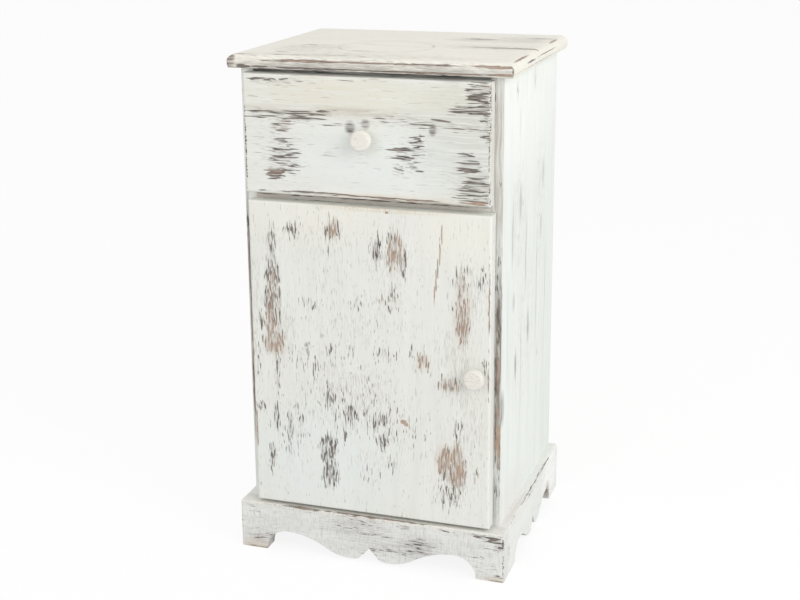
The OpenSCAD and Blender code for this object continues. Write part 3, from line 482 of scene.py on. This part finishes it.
give(chalk_paint("chalk_paint_top", "X", (1.4, 24), top_wear, top_tints, paint="#F3F0E6",
                 deep="#E0DBCF", stray=0.4, sound=0.03, ring=((-14, -15, TOP_FACE), 58, 2.2),
                 offset=23),
     "top_panel")

# Sides of the case: grain upright, the right one's front edge worn, and a dark line down the left
# one's
right_wear = {
    "thin": on_side(SIDE_FACE, [
        (-40, 430, 50, 110, 0.6), (76, 420, 40, 130, 0.55), (0, 290, 70, 150, 0.5),
    ]),
    "bare": on_side(SIDE_FACE, [
        (36, 590, 8, 12, 1.0), (-55, 588, 8, 9, 0.9), (59, 480, 2, 8, 1.2), (-24, 450, 5, 6, 0.9),
        (17, 282, 2, 18, 1.2), (-48, 250, 3, 14, 0.9), (72, 195, 1.6, 60, 0.9),
        (-117, 212, 6, 25, 1.0),
    ]) + on_front(CASE_FRONT, [
        (150, 600, 4, 16, 0.9), (157, 491, 3, 4, 2.2), (158, 396, 6, 40, 0.8),
        (158, 335, 7, 70, 1.1), (156, 260, 6, 50, 1.1), (157, 140, 7, 40, 0.9),
        (157, 93, 7, 30, 0.5),
    ], depth=6),
    "brown_line": on_front(CASE_FRONT, [
        (158.4, 185, 3.2, 60, 2.0), (158, 262, 3, 40, 0.7),
    ], depth=5),
    "bare_line": on_front(CASE_FRONT, [
        (158, 330, 2.4, 56, 1.8), (157, 262, 3, 44, 1.7), (155.4, 200, 1.6, 110, 1.9),
        (161, 160, 1.1, 70, 1.7),
    ], depth=4),
}
right_tints = [
    (on_side(SIDE_FACE, [
        (34, 592, 9, 22, 0.7), (-55, 590, 9, 20, 0.6), (-39, 550, 5, 26, 0.6),
        (89, 463, 8, 24, 0.5), (-32, 451, 9, 30, 0.5), (81, 393, 6, 22, 0.5), (17, 280, 5, 28, 1.0),
        (-48, 249, 6, 28, 0.9), (-61, 332, 8, 16, 0.5), (-112, 212, 14, 28, 0.9),
        (-70, 420, 6, 60, 0.5), (0, 380, 6, 70, 0.5), (-90, 300, 4, 90, 0.35),
        (-20, 240, 4, 110, 0.35), (60, 320, 5, 110, 0.35), (110, 300, 4, 120, 0.4),
    ]), "#8E8F8E", 0.95),
    (on_side(SIDE_FACE, [(0, 600, 260, 150, 1.0)]), "#F8FAF6", 0.9),
    (on_front(CASE_FRONT, [(156, 520, 20, 170, 1.0)], depth=4), "#BFB8B1", 0.95),
    (on_front(CASE_FRONT, [(156, 270, 20, 150, 1.0)], depth=4), "#85776C", 0.95),
    (on_front(CASE_FRONT, [(156, 92, 20, 44, 1.0)], depth=4), "#B3B1AC", 0.9),
    (on_side(SIDE_FACE, [(-70, 66, 90, 60, 1.0)]), "#E6E0DC", 0.6),
]
give(chalk_paint("chalk_paint_right_side", "Z", (1.9, 16), right_wear, right_tints,
                 paint="#F0F3EE", deep="#DDE2DD", streak=0.8, sound=0.06, offset=31),
     "side_right")
left_wear = {
    "thin": on_side(-SIDE_FACE, [
        (-60, 430, 40, 160, 0.55), (70, 300, 36, 170, 0.5), (-20, 170, 60, 90, 0.45),
    ]),
    "bare": on_side(-SIDE_FACE, [
        (-44, 552, 4, 20, 1.0), (52, 498, 3, 16, 0.9), (-83, 331, 3, 34, 1.0),
        (23, 243, 3, 26, 1.0), (96, 156, 3, 24, 0.9), (-112, 118, 5, 30, 1.1),
        (-120, 410, 4, 40, 0.9), (128, 90, 8, 12, 0.9), (120, 590, 10, 8, 0.8),
    ]),
    # A dark line down the left side's front edge, beside the drawer and door, drawn in the colours
    # of bare wood
    "bare_line": on_front(CASE_FRONT, [
        (-158, 360, 1.4, 90, 1.5), (-158.2, 210, 1.4, 60, 1.7),
    ], depth=5),
}
left_tints = [
    (on_side(-SIDE_FACE, [
        (-42, 540, 5, 44, 0.6), (50, 486, 4, 40, 0.5), (-80, 322, 5, 60, 0.7),
        (24, 232, 5, 44, 0.6), (94, 150, 7, 50, 0.5), (-108, 126, 8, 50, 0.7),
        (10, 420, 5, 90, 0.4), (-118, 420, 4, 110, 0.5), (110, 340, 4, 120, 0.4),
        (-30, 250, 4, 110, 0.35), (66, 400, 5, 110, 0.35),
    ]), "#8E8F8E", 0.9),
    # The same dark line down the left side's front edge, as a tint
    (on_front(CASE_FRONT, [
        (-158.5, 350, 2.8, 150, 1.0), (-158.5, 220, 2.8, 90, 1.0),
    ], depth=4), "#948880", 1.5),
]
give(chalk_paint("chalk_paint_left_side", "Z", (1.9, 16), left_wear, left_tints,
                 paint="#F0F1EC", deep="#DFE1DB", streak=0.8, sound=0.06, offset=41),
     "side_left")

# Boards inside the case: painted shade darkens the top rail's front edge, for the gap under the
# top; the divider's front edge is warmer, with rubbed lines
board_wear = {
    "bare_line": on_front(CASE_FRONT, [
        (0, 461.6, 240, 1.2, 1.05), (-60, 456.5, 90, 1.1, 1.0),
    ], depth=4),
}
board_tints_and_shade = [
    # Painted shade on the top rail's front edge, in the gap under the top
    (on_front(CASE_FRONT, [(0, 606, 400, 24, 1.0)], depth=6), "#5C5C5E", 1.0),
    (on_front(CASE_FRONT, [(0, 459, 320, 14, 1.0)], depth=6), "#E3D6CE", 0.7),
]
give(chalk_paint("chalk_paint_boards", "X", (2.0, 20), board_wear, board_tints_and_shade, deep="#CFCCC4",
                 stray=0.4, sound=0.06, offset=53),
     "bottom_board", "divider_board", "top_rail_front", "shelf")

# Plinth: rubbed with the grain and across it, so that the coat looks hatched
plinth_wear = {
    "thin": on_front(PLINTH_FACE, [
        (-128, 41, 60, 36, 0.3), (17, 24, 60, 22, 0.6), (62, 30, 36, 22, 0.9),
        (-17, 50, 60, 20, 0.8), (143, 14, 20, 18, 0.4),
    ]),
    "bare": on_front(PLINTH_FACE, [
        (141, 58, 20, 3, 1.1), (156, 55, 18, 5, 1.6), (167, 46, 8, 8, 1.3), (160, 42, 4, 3, 0.9),
        (-7, 40, 12, 3, 1.1), (17, 40, 19, 4, 0.8), (-17, 53, 32, 14, 0.55), (-34, 45, 23, 3, 0.8),
        (62, 30, 29, 17, 0.75), (91, 33, 7, 6, 0.6), (6, 57, 4, 2.5, 1.4), (48, 55, 9, 5, 0.9),
        (98, 58, 7, 2, 1.2), (-150, 16, 29, 6, 0.7), (-158, 57, 4, 3, 1.1), (145, 29, 4, 4, 0.9),
        (166, 7, 4, 3, 1.1), (159, 21, 3, 8, 0.7), (17, 18, 41, 14, 0.5),
    ]),
    "brown": on_front(PLINTH_FACE, [(-131, 18, 9, 9, 0.9), (160, 60, 8, 3, 0.8)]),
    "brown_line": on_front(PLINTH_FACE, [
        (-88, 62.4, 34, 2, 0.35), (-24, 61.4, 18, 1.8, 0.5), (20, 62.8, 80, 1.4, 0.4),
        (-152, 1, 24, 3, 1.1), (164, 1, 14, 2.4, 1.2), (163, 60, 12, 2, 0.5),
    ], depth=6),
    "bare_line": on_front(PLINTH_FACE, [
        (-88, 62.6, 36, 2.4, 2.1), (0, 63, 110, 1.5, 1.8), (-130, 62, 30, 1, 0.9),
        (157, 57.5, 15, 2.2, 2.3), (165, 52, 10, 1.8, 2.4), (168, 46, 5, 4, 1.9),
        (171.6, 50, 1.8, 9, 2.2), (172, 24, 1.4, 26, 1.0), (166, 8, 4, 3, 1.5),
        (-172.4, 34, 1.4, 40, 0.9),
    ], depth=5),
}
plinth_tints = [
    (on_front(PLINTH_FACE, [
        (62, 28, 44, 26, 1.0), (-17, 44, 60, 22, 0.8), (-140, 18, 40, 16, 0.6),
    ]), "#B0AFAD", 0.4),
    # Bare ends of the feet, the sawn face of the left arch, and the ledge
    (on_front(PLINTH_FACE, [
        (-152, 2, 30, 14, 1.0), (160, 2, 22, 8, 0.7),
    ], depth=12), "#C0AC98", 0.7),
    ([((-125, -130, 18), (9, 14, 14), 1.0)], "#8F7D70", 1.5),
    (on_top(PLINTH_TOP, [(0, -140, 260, 30, 1.0)], depth=6), "#EAE4D6", 0.6),
]
give(chalk_paint("chalk_paint_plinth_front", "X", (1.6, 12), plinth_wear, plinth_tints,
                 paint="#EBECE8", deep="#D1D1CD", streak=0.7, stray=0.2, crossed="Z", offset=61),
     "plinth_front")
plinth_side_wear = {
    "bare_line": on_side(PLINTH_SIDE, [
        (70, 62.6, 70, 1.2, 1.6), (-20, 62.6, 60, 1, 1.1), (-100, 62.6, 50, 1, 0.8),
    ], depth=4),
    "bare": on_side(PLINTH_SIDE, [(-7, 58, 30, 5, 0.8), (-120, 30, 10, 16, 0.7)]),
}
plinth_side_tints = [
    (on_side(PLINTH_SIDE, [(115, 40, 60, 50, 1.0)]), "#FDFDFB", 1.0),
    # The sawn face at the back foot, and the ledge
    ([((168, 98, 14), (10, 18, 24), 1.0)], "#A28F80", 1.6),
    (on_top(PLINTH_TOP, [(167, -70, 14, 70, 1.0)], depth=4), "#DAD5CF", 0.7),
]
give(chalk_paint("chalk_paint_plinth_sides", "Y", (1.8, 16), plinth_side_wear, plinth_side_tints,
                 paint="#EFF1ED", stray=0.3, sound=0.03, offset=71),
     "plinth_right", "plinth_left")

# Knobs: turned beech in the same paint, handled smooth
give(chalk_paint("chalk_paint_knobs", "X", (1.2, 6), paint="#E9E6DE", deep="#D6D1C6", stray=0.4,
                 offset=83),
     "drawer_knob", "door_knob")

# Pine, sawn and planed and left bare: warm and pale, with narrow darker bands along the grain
give(bare_wood("pine_along_x", "X"),
     "top_rail_back", "plinth_back", "drawer_box_front", "drawer_back")
give(bare_wood("pine_along_y", "Y"),
     "runner_left", "runner_right", "drawer_side_left", "drawer_side_right")
give(bare_wood("pine_upright", "Z"), "plinth_blocks", "case_dowels")
# Birch plywood, peeled off the log and pressed: paler, with a broad soft figure
give(bare_wood("birch_plywood_upright", "Z", PLY_LIGHT, PLY_DARK, band=16, sway=14),
     "back_panel")
give(bare_wood("birch_plywood_level", "X", PLY_LIGHT, PLY_DARK, band=16, sway=14),
     "drawer_bottom")

# Steel, barrel plated in zinc: a cool satin sheen with cloudy handling marks
give(clouded("zinc_plated_steel", "#C9CACB", "#8C8C88", 0.3, 1.0, 0.8, 0.02),
     "back_nails", "top_screws", "shelf_pins", "plinth_screws", "runner_screws", "drawer_nails",
     "drawer_front_screws", "drawer_knob_screw", "door_knob_screw", "catch_screws",
     "strike_plate", "strike_screws")
# Steel, rolled, pressed and plated in brass: a warm sheen, browner where fingers go
give(clouded("brass_plated_steel", "#C6A86E", "#8D7748", 0.28, 1.0, 0.8, 0.02),
     "hinge_upper_case_leaf", "hinge_lower_case_leaf", "hinge_pins", "hinge_case_screws",
     "hinge_upper_door_leaf", "hinge_lower_door_leaf", "hinge_door_screws")
# Ferrite, sintered and ground: a dark grey ceramic, dull and faintly gritty
give(clouded("ferrite", "#4A4A4C", "#5E5D5B", 0.5, 0.0, 0.5, 0.03), "catch_magnet")
# ABS, moulded in an eroded tool: off-white, satin, with a fine even grain
give(clouded("abs_plastic", "#E6E6E1", "#DAD9D3", 0.4, 0.0, 0.7, 0.03), "catch_body")


# Floor, light and camera: places in metres, the sensor and the lens in mm

FLOOR_SIZE = 30
FLOOR_GLOW = 0.88
WORLD_LIGHT = 0.74
CABINET_MIDDLE = Vector((0, 0, 0.32))
SENSOR_WIDTH = 36
LENS = 64.71
SHIFT_Y = -0.05


def studio_floor():
    """A pale floor that shows white to the camera and keeps the cabinet's shadow."""
    form = bmesh.new()
    bmesh.ops.create_grid(form, x_segments=1, y_segments=1, size=FLOOR_SIZE)
    mesh = bpy.data.meshes.new("floor")
    form.to_mesh(mesh)
    form.free()
    floor = bpy.data.objects.new("floor", mesh)
    bpy.context.scene.collection.objects.link(floor)
    material, tree = new_material("studio_floor")
    seen = add(tree, "LightPath", output="Is Camera Ray")
    pale = add(tree, "Mix", {0: seen, 6: colour("#E6E6E6"), 7: colour("#FFFFFF")}, **OF_COLOURS)
    diffuse = add(tree, "BsdfDiffuse", {"Color": pale})
    glow = add(tree, "Emission", {"Color": colour("#FFFFFF"), "Strength": 1.0})
    share = add(tree, "Math", {0: seen, 1: FLOOR_GLOW}, operation="MULTIPLY")
    surface = add(tree, "MixShader", {0: share, 1: diffuse, 2: glow})
    add(tree, "OutputMaterial", {"Surface": surface})
    mesh.materials.append(material)


def studio_world():
    """Even light from all round, and white where the camera or a reflection sees it."""
    world = bpy.data.worlds.new("studio")
    bpy.context.scene.world = world
    world.use_nodes = True
    tree = world.node_tree
    tree.nodes.clear()
    light = add(tree, "Background", {"Color": colour("#FFFFFF"), "Strength": WORLD_LIGHT})
    white = add(tree, "Background", {"Color": colour("#FFFFFF"), "Strength": 1.0})
    seen = 0.0
    for ray in ("Is Camera Ray", "Is Glossy Ray", "Is Transmission Ray"):
        this_ray = add(tree, "LightPath", output=ray)
        seen = add(tree, "Math", {0: seen, 1: this_ray}, operation="MAXIMUM")
    surface = add(tree, "MixShader", {0: seen, 1: light, 2: white})
    add(tree, "OutputWorld", {"Surface": surface})


def softbox(name, place, size, power):
    """A square area lamp that faces the middle of the cabinet. Its power is in watts."""
    lamp = bpy.data.lights.new(name, "AREA")
    lamp.size = size
    lamp.energy = power
    holder = bpy.data.objects.new(name, lamp)
    holder.location = place
    aim = CABINET_MIDDLE - holder.location
    holder.rotation_euler = aim.to_track_quat("-Z", "Y").to_euler()
    bpy.context.scene.collection.objects.link(holder)


def photo_camera(place, azimuth, elevation, roll):
    """The camera stands to the right of the cabinet and looks down at it a little.

    The angles are in degrees, and at an azimuth of 0 it looks along +Y."""
    azimuth, elevation, roll = (math.radians(angle) for angle in (azimuth, elevation, roll))
    level = Vector((math.cos(azimuth), math.sin(azimuth), 0))
    out = Vector((-math.sin(azimuth), math.cos(azimuth), 0))
    ahead = out * math.cos(elevation) - Vector((0, 0, math.sin(elevation)))
    above = level.cross(ahead)
    right = level * math.cos(roll) + above * math.sin(roll)
    up = above * math.cos(roll) - level * math.sin(roll)
    data = bpy.data.cameras.new("photo")
    data.sensor_width = SENSOR_WIDTH
    data.lens = LENS
    data.shift_y = SHIFT_Y
    camera = bpy.data.objects.new("photo", data)
    turn = Matrix((right, up, -ahead)).transposed().to_4x4()
    camera.matrix_world = Matrix.Translation(place) @ turn
    bpy.context.scene.collection.objects.link(camera)
    bpy.context.scene.camera = camera


studio_floor()
studio_world()
softbox("key", place=(2.2, -1.4, 1.6), size=1.6, power=33)
softbox("fill", place=(-1.2, -2.4, 1.6), size=1.6, power=10.5)
photo_camera((0.55449, -1.68485, 0.84259), azimuth=18.332, elevation=15.317, roll=-0.424)
bpy.context.scene.view_settings.view_transform = "Standard"
